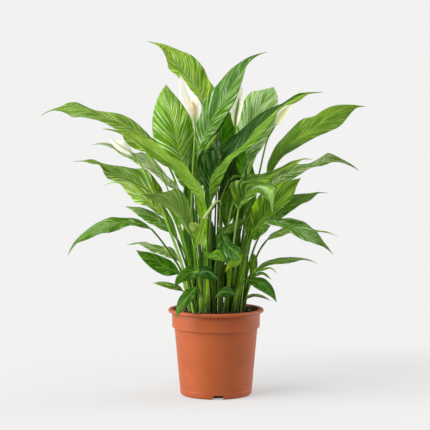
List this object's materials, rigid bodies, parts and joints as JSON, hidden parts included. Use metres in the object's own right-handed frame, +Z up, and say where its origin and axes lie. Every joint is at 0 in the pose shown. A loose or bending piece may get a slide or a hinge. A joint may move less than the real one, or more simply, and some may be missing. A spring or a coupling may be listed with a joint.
{
  "type": "potted peace lily",
  "caption": "Peace lily with arching pointed leaves on long stalks and white hooded flowers, growing in soil in a tapered plastic nursery pot with drain notches.",
  "frame": {"origin": "middle of the pot's flat underside, on the surface it stands on", "axes": "+Z up along the pot axis; -Y towards the side seen in the picture; +X to the viewer's right"},
  "size_m": [0.4524, 0.275, 0.4803],
  "materials": {
    "pot_plastic": "satin moulded terracotta-coloured plastic",
    "potting_soil": "loose dark peat with small chips",
    "leaf": "waxy green leaf, glossy above and paler below",
    "flower_stalk": "smooth yellow-green stalk",
    "spathe": "matte creamy white petal-like hood",
    "spathe_bud": "matte greenish cream rolled hood",
    "spadix": "knobbly matte tan"
  },
  "bodies": {
    "root": {"nursery_pot": "pot_plastic", "soil": "potting_soil", "leaf_top_left": "leaf", "leaf_top_center": "leaf", "leaf_left_of_center_broad": "leaf", "leaf_right_of_center_broad": "leaf", "leaf_crossing_center": "leaf", "leaf_right_big": "leaf", "leaf_right_upper_mid": "leaf", "leaf_right_far_tip": "leaf", "leaf_right_folded": "leaf", "leaf_right_lower_broad": "leaf", "leaf_right_dark": "leaf", "leaf_right_drooping": "leaf", "leaf_right_arching_behind": "leaf", "leaf_low_right_drooping": "leaf", "leaf_low_right_small": "leaf", "leaf_right_narrow": "leaf", "leaf_right_wispy": "leaf", "leaf_right_small_upright": "leaf", "leaf_left_upper_long": "leaf", "leaf_left_long_light": "leaf", "leaf_left_dark_under": "leaf", "leaf_left_greyish": "leaf", "leaf_left_big": "leaf", "leaf_left_light_lower": "leaf", "leaf_left_front_arching": "leaf", "leaf_left_mid": "leaf", "leaf_left_drooping": "leaf", "leaf_left_low_grey": "leaf", "leaf_left_low_big": "leaf", "leaf_low_left_small": "leaf", "leaf_over_rim_left": "leaf", "leaf_low_center_left": "leaf", "leaf_low_center": "leaf", "leaf_center_small_left": "leaf", "leaf_center_dark_drooping": "leaf", "leaf_center_yellow_tipped": "leaf", "leaf_low_front": "leaf", "leaf_center_dark_tip": "leaf", "leaf_center_under_fold": "leaf", "leaf_center_horizontal": "leaf", "leaf_center_lit_small": "leaf", "leaf_center_hanging_stalk": "leaf", "leaf_center_right_small": "leaf", "leaf_back_left": "leaf", "leaf_back_center": "leaf", "leaf_back_right": "leaf", "leaf_back_low_right": "leaf", "flower_left_of_center_scape": "flower_stalk", "flower_center_right_scape": "flower_stalk", "flower_left_scape": "flower_stalk", "flower_bud_right_scape": "flower_stalk", "flower_left_of_center_spathe": "spathe", "flower_center_right_spathe": "spathe", "flower_left_spathe": "spathe", "flower_bud_right_spathe": "spathe_bud", "flower_left_of_center_spadix": "spadix", "flower_center_right_spadix": "spadix", "flower_left_spadix": "spadix"}
  },
  "joints": []
}
